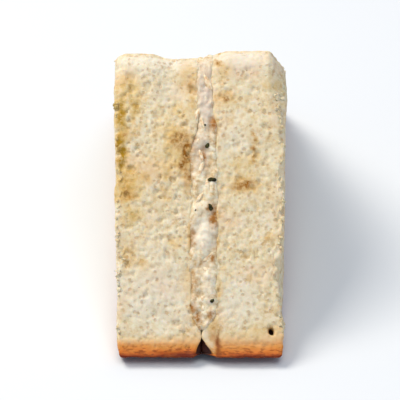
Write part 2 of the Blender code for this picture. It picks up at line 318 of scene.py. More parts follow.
def eased(knots, place):
    """The value at each place, eased from one of the (place, value) knots to the next."""
    places, values = np.array(knots, float).T
    i = np.clip(np.searchsorted(places, place) - 1, 0, len(places) - 2)
    return values[i] + (values[i + 1] - values[i]) * ease(places[i], places[i + 1], place)


def side_points(y, z):
    return np.stack([np.zeros(len(y)), y, z], axis=1)


def rim(z):
    """The y that the outline reaches at a height: on the cut, or on the loaf's round corner below."""
    arc = HALF_SIDE - LOAF_CORNER + np.sqrt(np.maximum(LOAF_CORNER**2 - (LOAF_CORNER - z) ** 2, 0.0))
    return np.where(z < LOWER_EDGE, arc, HALF_SIDE - z)


def inner_face_at(knots, y, z):
    """The x of a face against the spread: its own at the cuts, and below the pinch that of the pinch
    further in."""
    at_cut, closed = eased(knots, z), eased(knots, np.maximum(z, PINCH))
    return at_cut + (closed - at_cut) * ease(NOTCH_FROM, NOTCH_DEPTH, rim(z) - np.abs(y))


def left_outside(y, z):
    return eased(LEFT_OUTSIDE, z) + OUTER_WAVE * noise(side_points(y, z), OUTER_WAVE_LENGTH, 31)


def left_inside(y, z):
    at = side_points(y, z)
    shared = SHARED_WAVE * noise(at, SHARED_WAVE_LENGTH, 82)
    own = INNER_WAVE * rough(at, INNER_WAVE_LENGTH, 2, 83)
    return inner_face_at(LEFT_INSIDE, y, z) + shared + own * ease(*WAVES_SET_IN, z)


def right_inside(y, z):
    at = side_points(y, z)
    shared = SHARED_WAVE * noise(at, SHARED_WAVE_LENGTH, 82)
    own = RIGHT_WAVE * noise(at, RIGHT_WAVE_LENGTH, 124) + INNER_WAVE * rough(at, INNER_WAVE_LENGTH, 2, 125)
    return inner_face_at(RIGHT_INSIDE, y, z) + shared + own * ease(*WAVES_SET_IN, z)


def right_outside(y, z):
    distance = np.hypot(y - DENT_PLACE[0], z - DENT_PLACE[1])
    dent = DENT_DEPTH * (1 - ease(0.0, DENT_REACH, distance))
    wave = OUTER_WAVE * noise(side_points(y, z), OUTER_WAVE_LENGTH, 57)
    return eased(RIGHT_OUTSIDE, z) + wave - dent


def spread_left(y, z):
    varies = SPREAD_SUNK_VARIES * noise(side_points(y, z), SPREAD_SUNK_LENGTH, 84)
    return left_inside(y, z) - SPREAD_SUNK - varies


def spread_right(y, z):
    varies = SPREAD_SUNK_VARIES * noise(side_points(y, z), SPREAD_SUNK_LENGTH, 126)
    return right_inside(y, z) + SPREAD_SUNK + varies


def outside(y, z, base):
    """How far a point lies outside the outline: the largest of its distances past the base, the two
    cuts, the loaf's round corners and the round point."""
    y = np.abs(y)
    excess = np.maximum(base - z, (y + z - HALF_SIDE) * ROOT_HALF)
    corner = HALF_SIDE - LOAF_CORNER
    arc = np.hypot(y - corner, z - LOAF_CORNER) - LOAF_CORNER
    excess = np.where((y > corner) & (z < LOAF_CORNER), np.maximum(excess, arc), excess)
    point = HALF_SIDE - POINT_RADIUS / ROOT_HALF
    tip = np.hypot(y, z - point) - POINT_RADIUS
    return np.where(z - point > y, np.maximum(excess, tip), excess)


def fitted(shares, base, inset):
    """Places lattice points in the outline. A point keeps its direction from the centroid and its
    share of the way to the rim, where the way is the outline's reach in that direction, less inset."""
    height = HALF_SIDE - base
    y = height * (shares[:, 1] - shares[:, 2])
    z = height * (shares[:, 0] - 1 / 3)
    length = np.maximum(np.hypot(y, z), 1e-9)
    y, z, centre = y / length, z / length, base + height / 3
    low, high = np.zeros(len(y)), np.full(len(y), 2 * HALF_SIDE)
    for _ in range(32):
        middle = (low + high) / 2
        beyond = outside(y * middle, centre + z * middle, base) > 0
        low, high = np.where(beyond, low, middle), np.where(beyond, middle, high)
    way = (1 - 3 * shares.min(axis=1)) * (low - inset)
    return y * way, centre + z * way


def triangle_lattice(cells):
    """Shares of a triangle's three corners for rows of points from its base to its point, the
    triangles between the rows, and the rim's points in order."""
    lengths = np.arange(cells + 1, 0, -1)
    first = np.cumsum(lengths) - lengths
    rows = np.repeat(np.arange(cells + 1), lengths)
    cols = np.arange(len(rows)) - first[rows]
    shares = np.stack([rows, cols, cells - rows - cols], axis=1) / cells
    below = cols < cells - rows
    a, above = np.flatnonzero(below), first[rows[below] + 1] + cols[below]
    upward = np.stack([a, a + 1, above], axis=1)
    below = cols < cells - rows - 1
    a, above = np.flatnonzero(below), first[rows[below] + 1] + cols[below]
    downward = np.stack([a + 1, above + 1, above], axis=1)
    up = np.arange(1, cells + 1)
    down = np.arange(cells - 1, 0, -1)
    rim = np.concatenate([np.arange(cells + 1), first[up] + cells - up, first[down]])
    return shares, np.concatenate([upward, downward]), rim


def prism(cells, layers):
    """A closed prism: the lattice on both broad faces and rings of quads between their rims. It
    gives each point's shares, its layer, the triangles and the quads, all facing out."""
    shares, triangles, rim = triangle_lattice(cells)
    count = len(shares)
    between = np.repeat(np.arange(1, layers), len(rim))
    layer = np.concatenate([np.zeros(count), np.full(count, layers), between])
    rings = 2 * count + np.arange((layers - 1) * len(rim)).reshape(layers - 1, len(rim))
    rings = np.concatenate([rim[None], rings, rim[None] + count])
    after = np.roll(rings, -1, axis=1)
    quads = np.stack([rings[:-1], after[:-1], after[1:], rings[1:]], axis=2).reshape(-1, 4)
    shares = np.concatenate([shares, shares, np.tile(shares[rim], (layers - 1, 1))])
    return shares, layer, np.concatenate([triangles[:, ::-1], triangles + count]), quads


def slab(cells, layers, base, left, right, left_edge, right_edge):
    """Points of a slab that fills the outline between two faces, their shares of the way across, and
    its faces. Near each broad face the rim draws in along a quarter circle."""
    shares, layer, triangles, quads = prism(cells, layers)
    y, z = fitted(shares, base, 0.0)
    thickness = right(y, z) - left(y, z)
    across = layer / layers
    inset = np.zeros(len(y))
    for from_face, edge in ((across * thickness, left_edge), ((1 - across) * thickness, right_edge)):
        short = 1 - np.clip(from_face / edge, 0.0, 1.0)
        inset = np.maximum(inset, edge * (1 - np.sqrt(1 - short**2)))
    y, z = fitted(shares, base, inset)
    low, high = left(y, z), right(y, z)
    return np.stack([low + (high - low) * across, y, z], axis=1), across, triangles, quads


def surface_normals(points, triangles, quads):
    """The mean of the face normals round each point, each weighted by its face's area."""
    faces = np.concatenate([triangles, quads[:, :3], quads[:, [0, 2, 3]]])
    corners = points[faces]
    face_normals = np.cross(corners[:, 1] - corners[:, 0], corners[:, 2] - corners[:, 0])
    total = np.zeros_like(points)
    for axis in range(3):
        weights = np.repeat(face_normals[:, axis], 3)
        total[:, axis] = np.bincount(faces.ravel(), weights=weights, minlength=len(points))
    return total / np.maximum(np.linalg.norm(total, axis=1, keepdims=True), 1e-12)


def drop_at(x, y, z):
    """How far a point goes down as the top is pressed, most at the point of the quarter."""
    lowest = DROP_FROM + (DROP_FROM_BEHIND - DROP_FROM) * ease(0.0, BACK, y)
    return eased(TOP_DROP, x) * ease(lowest, HALF_SIDE, z)


def press_top(points):
    """Presses the top down and gives each point's drop."""
    drop = drop_at(*points.T)
    points[:, 2] -= drop
    return drop


def crust_depth(points):
    """How deep a point lies under the loaf's outside: its base, or the round corner near its ends."""
    y, z = np.abs(points[:, 1]), points[:, 2]
    corner = HALF_SIDE - LOAF_CORNER
    arc = LOAF_CORNER - np.hypot(y - corner, z - LOAF_CORNER)
    flat = np.minimum(z, HALF_SIDE - y)
    return np.where((y > corner) & (z < LOAF_CORNER), arc, flat)


def up_the_cut(points, drop, side):
    """Distance up a cut face from its lower edge, and how near a point was to that face before it
    dropped. side is -1 for the front one and 1 for the back one."""
    y, z = side * points[:, 1], points[:, 2]
    along = (z - y + HALF_SIDE - 2 * LOWER_EDGE) * ROOT_HALF
    off = (z + drop + y - HALF_SIDE) * ROOT_HALF
    return along, 1 - ease(*PATCH_FADES, np.abs(off))


def patches(points, drop, listed, side, seed):
    """Strength of the listed patches on one cut face. At d, the squared share of the way out to a
    patch's rim, it is exp(-0.6 d^1.5) of its full strength, and noise shifts the outline."""
    along, near = up_the_cut(points, drop, side)
    along = along + PATCH_SHIFT * rough(points, PATCH_SHIFT_LENGTH, 3, seed)
    x_shifted = points[:, 0] + PATCH_SHIFT * rough(points, PATCH_SHIFT_LENGTH, 3, seed + 3)
    total = np.zeros(len(points))
    for x, up, half_width, half_height, strength in listed:
        away = ((x_shifted - x) / half_width) ** 2 + ((along - up) / half_height) ** 2
        total = np.maximum(total, strength * np.exp(-0.6 * away**1.5))
    return total * near


def both_faces(points, drop, listed, seed):
    """The patches as listed on the front cut face, and the same ones upside down on the back one."""
    turned = [(x, CUT_LENGTH - up, *rest) for x, up, *rest in listed]
    return patches(points, drop, listed, -1, seed) + patches(points, drop, turned, 1, seed + 1)


def add_mesh(name, points, triangles, quads, material, attributes=None):
    """Puts points, given in millimetres, and faces into a smooth mesh with its attributes."""
    mesh = bpy.data.meshes.new(name)
    corners = np.concatenate([triangles.ravel(), quads.ravel()])
    starts = np.concatenate([np.arange(len(triangles)) * 3, len(triangles) * 3 + np.arange(len(quads)) * 4])
    mesh.vertices.add(len(points))
    mesh.vertices.foreach_set("co", (points * MM).ravel())
    mesh.loops.add(len(corners))
    mesh.loops.foreach_set("vertex_index", corners.astype(np.int32))
    mesh.polygons.add(len(starts))
    mesh.polygons.foreach_set("loop_start", starts.astype(np.int32))
    mesh.update(calc_edges=True)
    mesh.shade_smooth()
    for key, values in (attributes or {}).items():
        mesh.attributes.new(key, "FLOAT", "POINT").data.foreach_set("value", values.astype(np.float32))
    mesh.materials.append(material)
    mesh.validate()
    obj = bpy.data.objects.new(name, mesh)
    bpy.context.scene.collection.objects.link(obj)
    return obj


def crumb_depth(points, normals, seed, openness, calm):
    """Depth of the crumb's pits: those of each size lie in the floors of the larger ones, noise bends
    their outlines, and they are shallow in calm places."""
    bend = np.stack([rough(points, 1.4, 2, seed + 90 + k) for k in range(3)], axis=1)
    bent = points * np.array([1.0, 0.85, 0.85]) + BUBBLE_BEND * bend
    depth = sum(pits(bent, normals, bubbles, seed + 50 * k) for k, bubbles in enumerate(CRUMB_BUBBLES))
    return depth * openness * (1 - CALM_PITS * calm)


def hole_depth(points, drop, seed):
    """Depth of the one deep hole in the right slice's front: full within a third of its radius."""
    x, up, radius = DEEP_HOLE
    along, near = up_the_cut(points, drop, -1)
    away = np.hypot(points[:, 0] - x, 0.8 * (along - up)) / radius + 0.3 * noise(points, 0.9, seed + 33)
    return DEEP_HOLE_DEPTH * near * (1 - ease(0.35, 1.0, away))


def crumb_swell(points, seed, openness, calm):
    """The crumb's gentle swells and fine roughness, and the crust's wrinkles along the loaf."""
    ripples = RIPPLE * rough(points, RIPPLE_LENGTH, 2, seed + 6)
    swell = openness * (SWELL * noise(points, SWELL_LENGTH, seed + 5) + ripples)
    fine = FINE_ROUGHNESS * rough(points, FINE_LENGTH, 2, seed + 9) * (1 - CALM_ROUGHNESS * calm)
    wrinkled = WRINKLE * rough(points * np.array([1.0, 0.5, 1.0]), WRINKLE_LENGTH, 3, seed + 21)
    crumb = ease(*CRUMB_TAKES_OVER, crust_depth(points))
    return crumb * (swell + fine + CRUMB_RISE) + (1 - crumb) * wrinkled


def shaded_notch_wall(points, inner):
    """1 on the crusts that turn into the notch behind the cuts, where painted shade goes, and 0 elsewhere.
    """
    y, z = points[:, 1], points[:, 2]
    behind = ease(0.0, 0.5, rim(z) - np.abs(y))
    beside = 1 - ease(0.5, 1.0, np.abs(points[:, 0] - inner(y, z)))
    return behind * beside * (1 - ease(PINCH - 0.6, PINCH + 0.6, z))


def torn_back(points, outer, seed):
    """How far the crumb is torn back along the long outer edges of the cuts, in bites of 2 mm."""
    y, z = points[:, 1], points[:, 2]
    from_side = np.abs(points[:, 0] - outer(y, z))
    from_cut = np.abs(HALF_SIDE - z - np.abs(y)) * ROOT_HALF
    edge = (1 - ease(0.0, TEAR_WIDTH, from_side)) * (1 - ease(0.0, TEAR_WIDTH, from_cut))
    bites = ease(-0.1, 0.6, noise(points, 2.3, seed + 41) + 0.6 * noise(points, 9.0, seed + 42))
    lowest, highest = EDGE_CRUMB_HEIGHTS
    sets_in = ease(lowest - TEAR_TAPER, lowest, z)
    ends = ease(highest - TEAR_TAPER, highest, z)
    return TEAR_DEPTH * edge * bites * sets_in * (1 - ends)


def crumb_edges(points, normals, side):
    """Which points lie on the long outer edges, where loose crumbs cling."""
    lowest, highest = EDGE_CRUMB_HEIGHTS
    least, most = EDGE_CRUMB_FACING
    facing = side * normals[:, 0]
    out_there = (facing > least) & (facing < most) & (side * points[:, 0] > EDGE_CRUMB_X)
    return out_there & (points[:, 2] > lowest) & (points[:, 2] < highest)


def make_slice(name, side, left, right, seed, openness, listed, crisp, material, hole=None):
    """side is -1 for the left slice and 1 for the right, whose inner faces are hidden and smoother.
    openness is how deep the crumb's pits and swells are against the usual, crisp how many
    millimetres the browning is cut short by, and hole a function for the depth of a hole. It gives
    the slice, and the points, normals, stains and painted shade of the edges where crumbs cling."""
    outer, inner = (left, right) if side < 0 else (right, left)
    edges = (OUTER_EDGE, INNER_EDGE) if side < 0 else (INNER_EDGE, OUTER_EDGE)
    points, _, triangles, quads = slab(SLICE_CELLS, SLICE_LAYERS, 0.0, left, right, *edges)
    shaded_wall, tear = shaded_notch_wall(points, inner), torn_back(points, outer, seed)
    drop = press_top(points)
    normals = surface_normals(points, triangles, quads)
    toasted, yellowed, calm = [
        both_faces(points, drop, part, 401 + 10 * k) for k, part in enumerate(listed)
    ]
    pit = crumb_depth(points, normals, seed, openness, calm)
    if hole:
        pit = pit + hole(points, drop, seed)
    depth = crust_depth(points)
    pit = pit * ease(*PITS_DEEPEN, depth)
    rests = (1 - ease(0.0, RESTS_UNDER, points[:, 2])) * (normals[:, 2] < FACES_DOWN)
    hidden = ease(*HIDDEN_FACING, -side * normals[:, 0])
    height = crumb_swell(points, seed, openness, calm) - pit
    height = height * (1 - rests) * (1 - HIDDEN_CALM * hidden)
    points = points + normals * height[:, None]
    points[:, 0] -= side * tear
    points[:, 2] = np.maximum(points[:, 2], 0.0)
    # Painted shade: the notch's crusts are given the depth of deep pits, which the material paints very
    # dark brown
    pit = pit + NOTCH_PAINTED_SHADE * shaded_wall
    browning = depth + crisp * ease(*CRUST_FADES, depth)
    attributes = {
        "crust_mm": browning, "pit": pit, "toasted": toasted, "yellowed": yellowed, "calm": calm,
    }
    piece = add_mesh(name, points, triangles, quads, material, attributes)
    edge = crumb_edges(points, normals, side)
    return piece, points[edge], normals[edge], toasted[edge], yellowed[edge]


def make_spread(name, material):
    """The spread between the slices: a slab whose cut rim swells into lumps of meat and sinks a
    little where it meets the bread."""
    points, across, triangles, quads = slab(
        SPREAD_CELLS, SPREAD_LAYERS, SPREAD_BASE, spread_left, spread_right, SPREAD_EDGE, SPREAD_EDGE
    )
    drop = press_top(points)
    normals = surface_normals(points, triangles, quads)
    pale = both_faces(points, drop, SPREAD_PALE, 501)
    pink = both_faces(points, drop, SPREAD_PINK, 511)
    toasted = both_faces(points, drop, LEFT_TOASTED + RIGHT_TOASTED, 521)
    bent = points + 0.5 * np.stack([noise(points, 2.0, 630 + k) for k in range(3)], axis=1)
    lumps = domes(bent * np.array([1.0, 0.75, 0.75]), LUMP_LENGTH, 611)
    fine = domes(bent, SMALL_LUMP_LENGTH, 612)
    middle = ease(0.0, 0.2, np.minimum(across, 1 - across))
    uneven = SPREAD_ROUGHNESS * rough(points, SPREAD_LENGTH, 4, 613)
    height = LUMP * lumps + SMALL_LUMP * fine + uneven + PALE_RISE * pale
    groove = GROOVE + GROOVE_VARIES * noise(points, GROOVE_LENGTH, 640)
    height = height * (RELIEF_LEFT + (1 - RELIEF_LEFT) * middle) - groove * (1 - middle) - RIM_BACK
    rim = 1 - ease(0.3, 0.9, np.abs(normals[:, 0]))
    points = points + normals * (height * rim)[:, None]
    lump = np.clip(0.6 * lumps + 0.4 * fine, 0, 1)
    attributes = {"lump": lump, "pale": pale, "pink": pink, "toasted": toasted}
    return add_mesh(name, points, triangles, quads, material, attributes)


def unit_ball(rings, around):
    """Points of a closed unit ball in rings of latitude between two poles, with its faces. At polar
    angle a and turn b a point is (sin a cos b, sin a sin b, cos a)."""
    a = np.repeat(np.linspace(0, math.pi, rings + 1)[1:-1], around)
    b = np.tile(np.arange(around) * 2 * math.pi / around, rings - 1)
    ball = np.stack([np.sin(a) * np.cos(b), np.sin(a) * np.sin(b), np.cos(a)], axis=1)
    ball = np.concatenate([ball, [[0, 0, 1], [0, 0, -1]]])
    grid = np.arange((rings - 1) * around).reshape(rings - 1, around)
    after = np.roll(grid, -1, axis=1)
    quads = np.stack([grid[:-1], grid[1:], after[1:], after[:-1]], axis=2).reshape(-1, 4)
    north, south = len(ball) - 2, len(ball) - 1
    top = np.stack([np.full(around, north), grid[0], after[0]], axis=1)
    bottom = np.stack([np.full(around, south), after[-1], grid[-1]], axis=1)
    return ball, np.concatenate([top, bottom]), quads


def cut_axes(side, turn):
    """Axes of bits that lie on a cut face: along the bit, across it and out of the face. A bit
    turned by 0 degrees lies across the sandwich, and by 90 it lies up the cut."""
    turn = np.radians(turn)[:, None]
    across, up = np.array([1.0, 0.0, 0.0]), np.array([0.0, -side * ROOT_HALF, ROOT_HALF])
    out = np.broadcast_to(np.array([0.0, side * ROOT_HALF, ROOT_HALF]), (len(turn), 3))
    along = np.cos(turn) * across + np.sin(turn) * up
    return np.stack([along, np.cross(out, along), out], axis=1)


def on_the_cut(side, x, up, out):
    """Points on a cut face at x and a distance up it, raised by out and pressed down with the top."""
    z = LOWER_EDGE + up * ROOT_HALF
    y = side * (HALF_SIDE - z + out * ROOT_HALF)
    z = z + out * ROOT_HALF
    return np.stack([x, y, z - drop_at(x, y, z)], axis=1)


def make_bits(name, places, axes, sizes, rings, around, unevenness, material, attributes=()):
    """One mesh of many closed bits. Each is a ball stretched to its sizes along its axes and moved to
    its place, whose points go in or out by noise."""
    ball, triangles, quads = unit_ball(rings, around)
    steps = np.arange(len(places))[:, None]
    bumps = 1 + unevenness * noise((ball[None] * 1.3 + 9.7 * steps[..., None]).reshape(-1, 3), 1.0, 771)
    local = ball[None] * sizes[:, None, :] / 2 * bumps.reshape(len(places), -1, 1)
    points = np.einsum("npk,nkj->npj", local, axes) + places[:, None, :]
    step = steps[..., None] * len(ball)
    faces = [(part[None] + step).reshape(-1, part.shape[1]) for part in (triangles, quads)]
    each = {key: np.repeat(value + np.zeros(len(places)), len(ball)) for key, value in attributes}
    return add_mesh(name, points.reshape(-1, 3), *faces, material, each)


def make_shreds(draw, material):
    """Shreds of chicken half sunk in both cut faces of the spread."""
    count = SHREDS_PER_FACE
    places, axes = [], []
    for side in (-1, 1):
        up = np.linspace(*SHRED_REACH, count) + draw.uniform(-SHRED_OFF_ROW, SHRED_OFF_ROW, count)
        x, raised = draw.uniform(*SHRED_ACROSS, count), np.full(count, SHRED_RAISED)
        places.append(on_the_cut(side, x, up, raised))
        axes.append(cut_axes(side, 90 + draw.uniform(-SHRED_TURN, SHRED_TURN, count)))
    sizes = draw.uniform(*SHRED_SIZES, (2 * count, 3))
    places, axes = np.concatenate(places), np.concatenate(axes)
    return make_bits("chicken_shreds", places, axes, sizes, *SHRED_BALL, material)


def make_herbs(draw, material):
    """Chopped parsley in the spread, as listed in front and turned about behind."""
    x, up, length, width, turn = np.array(HERBS, float).T
    raised = np.full(len(x), HERB_RAISED)
    front, back = on_the_cut(-1, x, up, raised), on_the_cut(1, 2.0 - x, CUT_LENGTH - up, raised)
    places = np.concatenate([front, back])
    axes = np.concatenate([cut_axes(-1, turn), cut_axes(1, turn)])
    sizes = np.stack([length, width, draw.uniform(*HERB_THICKNESS, len(x))], axis=1)
    return make_bits("parsley", places, axes, np.tile(sizes, (2, 1)), *HERB_BALL, material)


def make_edge_crumbs(draw, edges, material):
    """Loose crumbs that cling in clusters along the slices' long edges, where the knife tore the
    bread, and carry the bread's stains and painted shade there."""
    kept = []
    for edge in edges:
        gathered = 0.05 + ease(0.0, 0.6, noise(edge[0], 5.0, 881))
        chances = gathered / gathered.sum()
        chosen = draw.choice(len(gathered), EDGE_CRUMBS_PER_SLICE, replace=False, p=chances)
        kept.append([values[chosen] for values in edge])
    places, outward, toasted, yellowed = [np.concatenate(parts) for parts in zip(*kept)]
    along = np.cross(outward, draw.normal(size=outward.shape))
    along /= np.linalg.norm(along, axis=1, keepdims=True)
    axes = np.stack([along, np.cross(outward, along), outward], axis=1)
    smallest, largest = np.array(EDGE_CRUMB_SIZES)
    sizes = smallest + (largest - smallest) * draw.random(places.shape) ** 2
    values = (
        ("crust_mm", EDGE_CRUMB_DEPTH), ("pit", EDGE_CRUMB_PIT), ("toasted", toasted),
        ("yellowed", yellowed), ("calm", 0.0),
    )
    return make_bits("clinging_crumbs", places, axes, sizes, *CRUMB_BALL, material, values)


def add_node(tree, kind, links=None, stops=None, **settings):
    """Adds one node. links gives each socket a value or another node's output, stops fills a ramp."""
    node = tree.nodes.new(kind)
    for key, value in settings.items():
        setattr(node, key, value)
    for socket, value in (links or {}).items():
        if isinstance(value, bpy.types.NodeSocket):
            tree.links.new(value, node.inputs[socket])
        else:
            node.inputs[socket].default_value = value
    for i, (place, colour) in enumerate(stops or ()):
        element = node.color_ramp.elements[i] if i < 2 else node.color_ramp.elements.new(place)
        element.position = place
        element.color = hex_to_linear(colour) if isinstance(colour, str) else (colour, colour, colour, 1)
    return node


def blend_colours(tree, share, first, second):
    """The colour that is first where share is 0 and second where it is 1."""
    links = {0: share, 6: first, 7: hex_to_linear(second) if isinstance(second, str) else second}
    return add_node(tree, "ShaderNodeMix", links, data_type="RGBA").outputs[2]


def noise_texture(tree, place, scale, detail, roughness=0.5, output="Fac"):
    """Noise from 0 to 1, in grains of 1 / scale metres."""
    links = {"Vector": place, "Scale": scale, "Detail": detail, "Roughness": roughness}
    return add_node(tree, "ShaderNodeTexNoise", links).outputs[output]


def ramp(tree, share, *stops):
    """The colour or number that the (share, value) stops give for a share."""
    return add_node(tree, "ShaderNodeValToRGB", {"Fac": share}, stops).outputs["Color"]


def reckon(tree, operation, *values, use_clamp=False):
    """What a sum, product or the like of the values gives, held from 0 to 1 by use_clamp."""
    links = dict(enumerate(values))
    return add_node(tree, "ShaderNodeMath", links, operation=operation, use_clamp=use_clamp).outputs[0]


def mapped(tree, value, low, high, to_low=0.0, to_high=1.0):
    """The value mapped so that low gives to_low and high gives to_high, and held between those."""
    links = {"Value": value, "From Min": low, "From Max": high, "To Min": to_low, "To Max": to_high}
    return add_node(tree, "ShaderNodeMapRange", links).outputs["Result"]


def add_bump(tree, shader, height, distance):
    """Bumps whose height of 1 is the distance in metres, at half strength."""
    links = {"Height": height, "Strength": 0.5, "Distance": distance}
    bump = add_node(tree, "ShaderNodeBump", links)
    tree.links.new(bump.outputs["Normal"], shader.inputs["Normal"])


def read_attributes(tree, *keys):
    return [add_node(tree, "ShaderNodeAttribute", attribute_name=key).outputs["Fac"] for key in keys]


def object_place(tree):
    """The place on the object, in metres."""
    return add_node(tree, "ShaderNodeTexCoord").outputs["Object"]


def new_material(name):
    material = bpy.data.materials.new(name)
    material.use_nodes = True
    return material, material.node_tree, material.node_tree.nodes["Principled BSDF"]


def crumb_colour(tree, place, grains, calm):
    """Cream crumb, mottled in clouds of 6 mm and by the grains, with peach tints 8 mm across. Calm places
    are the palest, and along the top that paleness is a painted highlight."""
    clouds = noise_texture(tree, place, 170.0, 3.0, 0.6)
    broad = ramp(tree, clouds, (0.32, "#d4c09a"), (0.5, "#dbceac"), (0.68, "#ded4bd"))
    small = ramp(tree, grains, (0.3, "#bf9c66"), (0.45, "#d6c39c"), (0.55, "#e0d6bb"), (0.7, "#e8e2d2"))
    crumb = blend_colours(tree, 0.6, broad, small)
    tints = noise_texture(tree, place, 125.0, 2.0)
    crumb = blend_colours(tree, mapped(tree, tints, 0.5, 0.68, 0.0, 0.4), crumb, "#dfbd9a")
    # Paler in calm places; along the top this is a painted highlight
    return blend_colours(tree, reckon(tree, "MULTIPLY", calm, 0.8), crumb, "#dfe0da")


def fine_pores(tree, place):
    """1 in sharp-edged pores too fine for the mesh, in about half of the cells of 1.1 mm. Noise bends
    their outlines by up to 0.3 mm."""
    wobble = noise_texture(tree, place, 1500.0, 1.0, output="Color")
    bent = add_node(tree, "ShaderNodeVectorMath", {
        0: wobble, 1: (0.0006, 0.0006, 0.0006), 2: place,
    }, operation="MULTIPLY_ADD")
    pores = add_node(tree, "ShaderNodeTexVoronoi", {"Vector": bent.outputs["Vector"], "Scale": 900.0})
    opening = ramp(tree, pores.outputs["Distance"], (0.24, 1.0), (0.4, 0.0))
    chosen = ramp(tree, pores.outputs["Color"], (0.4, 0.0), (0.6, 1.0))
    return reckon(tree, "MULTIPLY", opening, chosen)


def tint_with_stains_and_shade(tree, place, crumb, stains):
    """The crumb's colour with stains and painted shade over it, broken into grains of 1 mm. Each is
    its strength with its colours where weak and where strong."""
    speckle = noise_texture(tree, place, 1000.0, 3.0, 0.7)
    broken = mapped(tree, speckle, 0.38, 0.6, 0.7, 1.15)
    for strength, weak, strong in stains:
        share = reckon(tree, "MULTIPLY", strength, broken, use_clamp=True)
        crumb = blend_colours(tree, share, crumb, ramp(tree, share, (0.35, weak), (0.95, strong)))
    return crumb


def browned_crust(tree, place, depth, calm, toasted):
    """The crust's colour, and the share of the crumb's colour to keep. Browning reaches 6 mm under the
    loaf's outside on average, in streaks of 7 mm across the sandwich by 2.4 mm, with darker flecks
    of 1.4 by 0.5 mm near the outside. The dark maroon at the very outside, seen at the foot, is dark
    crust and partly painted contact shadow."""
    mapping = add_node(tree, "ShaderNodeMapping", {"Vector": place, "Scale": (0.35, 1.0, 1.0)})
    streaked = mapping.outputs["Vector"]
    ragged = noise_texture(tree, streaked, 420.0, 4.0, 0.6)
    shift = reckon(tree, "MULTIPLY_ADD", ragged, 2.6, -1.3)
    torn = reckon(tree, "MULTIPLY_ADD", calm, 3.0, shift)
    share = reckon(tree, "DIVIDE", reckon(tree, "ADD", depth, torn), BROWNING_DEPTH, use_clamp=True)
    # The first, darkest stop is dark crust and partly painted contact shadow at the foot
    brown = ramp(tree, share, (0.04, "#702406"), (0.12, "#b0561a"), (0.21, "#d37a2e"),
                 (0.36, "#d39046"), (0.54, "#d8aa74"), (0.76, "#d8bb88"))
    seared = noise_texture(tree, streaked, 2100.0, 2.0)
    near_outside = ramp(tree, share, (0.15, 0.9), (0.55, 0.0))
    browned = blend_colours(tree, mapped(tree, seared, 0.5, 0.38, 0.0, near_outside), brown, "#8a4215")
    browned = blend_colours(tree, toasted, browned, "#8a4a18")
    return browned, ramp(tree, share, (0.5, 0.0), (1.0, 1.0))


def baked_white_bread():
    """White pan bread, sliced: a dry matt sponge of wheat starch, cream where the knife cut it, painted
    tan inside its pores as shade, and browned where it met the tin."""
    material, tree, shader = new_material("baked_white_bread")
    place = object_place(tree)
    pit, toasted, yellowed, calm, depth = read_attributes(
        tree, "pit", "toasted", "yellowed", "calm", "crust_mm"
    )

    # Crumb in grains of 1.4 mm, with tan painted shade in its fine pores and on the walls of its pits,
    # darker the deeper they go
    grains = noise_texture(tree, place, 720.0, 4.0, 0.75)
    pores = fine_pores(tree, place)
    crumb = crumb_colour(tree, place, grains, calm)
    crumb = blend_colours(tree, reckon(tree, "MULTIPLY", pores, 0.42), crumb, "#b08550")
    crumb = blend_colours(tree, ramp(tree, pit, (0.12, 0.0), (0.95, 0.55)), crumb, "#ae8a55")

    # Olive and orange brown stains, the olive partly warm painted shade along the left edge, and the crust
    crumb = tint_with_stains_and_shade(tree, place, crumb, (
        (yellowed, "#cfa94c", "#a57f1e"), (toasted, "#cfa44e", "#925e16"),
    ))
    browned, keep = browned_crust(tree, place, depth, calm, toasted)
    colour = blend_colours(tree, keep, browned, crumb)

    # Painted shade: the deep hole and the notch are painted very dark brown inside
    colour = blend_colours(tree, mapped(tree, pit, 1.3, 2.2), colour, "#2e0e05")
    tree.links.new(colour, shader.inputs["Base Color"])

    # Crust is glossier than crumb. Grains stand out on both, and pores sink into the crumb
    tree.links.new(mapped(tree, keep, 0.0, 1.0, 0.55, 0.92), shader.inputs["Roughness"])
    sunken = reckon(tree, "MULTIPLY", pores, keep)
    add_bump(tree, shader, reckon(tree, "SUBTRACT", grains, sunken), 0.00018)
    shader.inputs["Subsurface Weight"].default_value = 0.35
    shader.inputs["Subsurface Radius"].default_value = (1.0, 0.6, 0.32)
    shader.inputs["Subsurface Scale"].default_value = 0.0009
    shader.inputs["Specular IOR Level"].default_value = 0.25
    return material


